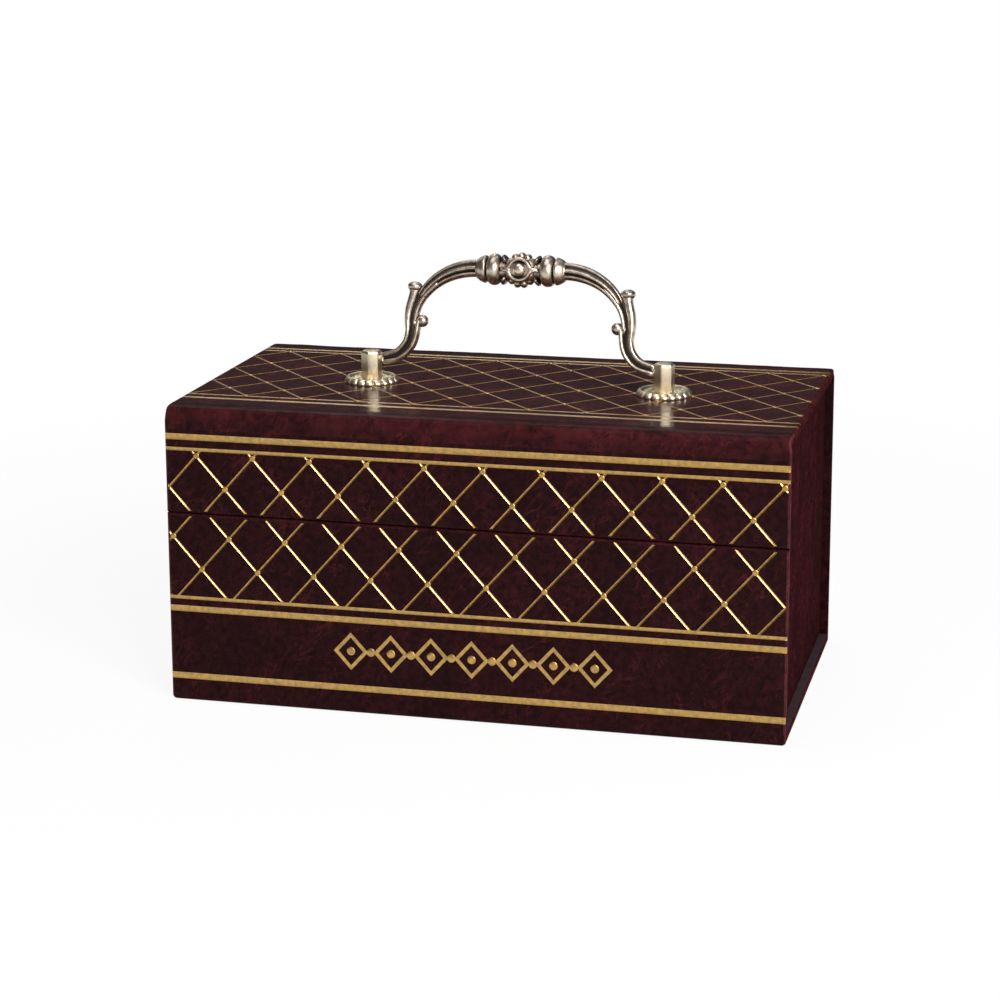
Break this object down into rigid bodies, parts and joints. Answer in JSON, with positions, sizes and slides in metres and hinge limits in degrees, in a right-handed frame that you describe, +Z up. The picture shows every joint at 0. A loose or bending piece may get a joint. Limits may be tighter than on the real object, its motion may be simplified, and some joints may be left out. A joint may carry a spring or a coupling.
{
  "type": "etrog box",
  "caption": "Leatherette-covered card box for an etrog, with a hinged lid, a magnetic front flap, a padded bed inside and a swinging antique brass bail handle.",
  "frame": {"origin": "middle of the underside of the closed box", "axes": "+X along the width, -Y towards the front flap, +Z up"},
  "size_m": [0.188, 0.1036, 0.1331],
  "materials": {
    "leatherette": "glossy burgundy leatherette with mottled veins",
    "greyboard": "raw grey board",
    "satin": "cream satin",
    "bright_brass": "polished pale brass",
    "antique_brass": "antique brass, dark in the recesses",
    "steel": "zinc plated"
  },
  "bodies": {
    "base": {"base_board": "greyboard", "base_cover": "leatherette", "front_board": "greyboard", "front_panel_cover": "leatherette", "back_board": "greyboard", "back_cover": "leatherette", "tray_floor": "greyboard", "tray_left_wall": "greyboard", "tray_right_wall": "greyboard", "tray_front_wall": "greyboard", "tray_back_wall": "greyboard", "tray_left_skin": "leatherette", "tray_right_skin": "leatherette", "tray_lining": "satin", "etrog_bed": "satin", "keeper_discs": "steel"},
    "lid": {"lid_board": "greyboard", "lid_cover": "leatherette", "lid_lining": "satin", "lid_pad": "satin", "lid_hinge_fold": "leatherette", "left_rosette": "bright_brass", "right_rosette": "bright_brass", "left_post": "bright_brass", "right_post": "bright_brass", "handle_screws": "steel", "screw_washers": "steel"},
    "flap": {"flap_board": "greyboard", "flap_cover": "leatherette", "flap_lining": "satin", "flap_magnets": "steel", "flap_hinge_fold": "leatherette"},
    "bail": {"handle_bail": "antique_brass"}
  },
  "joints": [
    {"name": "lid_hinge", "type": "hinge", "parent": "base", "child": "lid", "pos_m": [0, 0.05087, 0.09062], "axis": [-1, 0, 0], "range_deg": [0, 180], "deforming": ["lid_hinge_fold"]},
    {"name": "flap_hinge", "type": "hinge", "parent": "lid", "child": "flap", "pos_m": [0, -0.05034, 0.09009], "axis": [-1, 0, 0], "range_deg": [0, 90], "deforming": ["flap_hinge_fold"]},
    {"name": "bail_swing", "type": "hinge", "parent": "lid", "child": "bail", "pos_m": [0.0022, -0.002, 0.0986], "axis": [1, 0, 0], "range_deg": [-78, 102]}
  ]
}
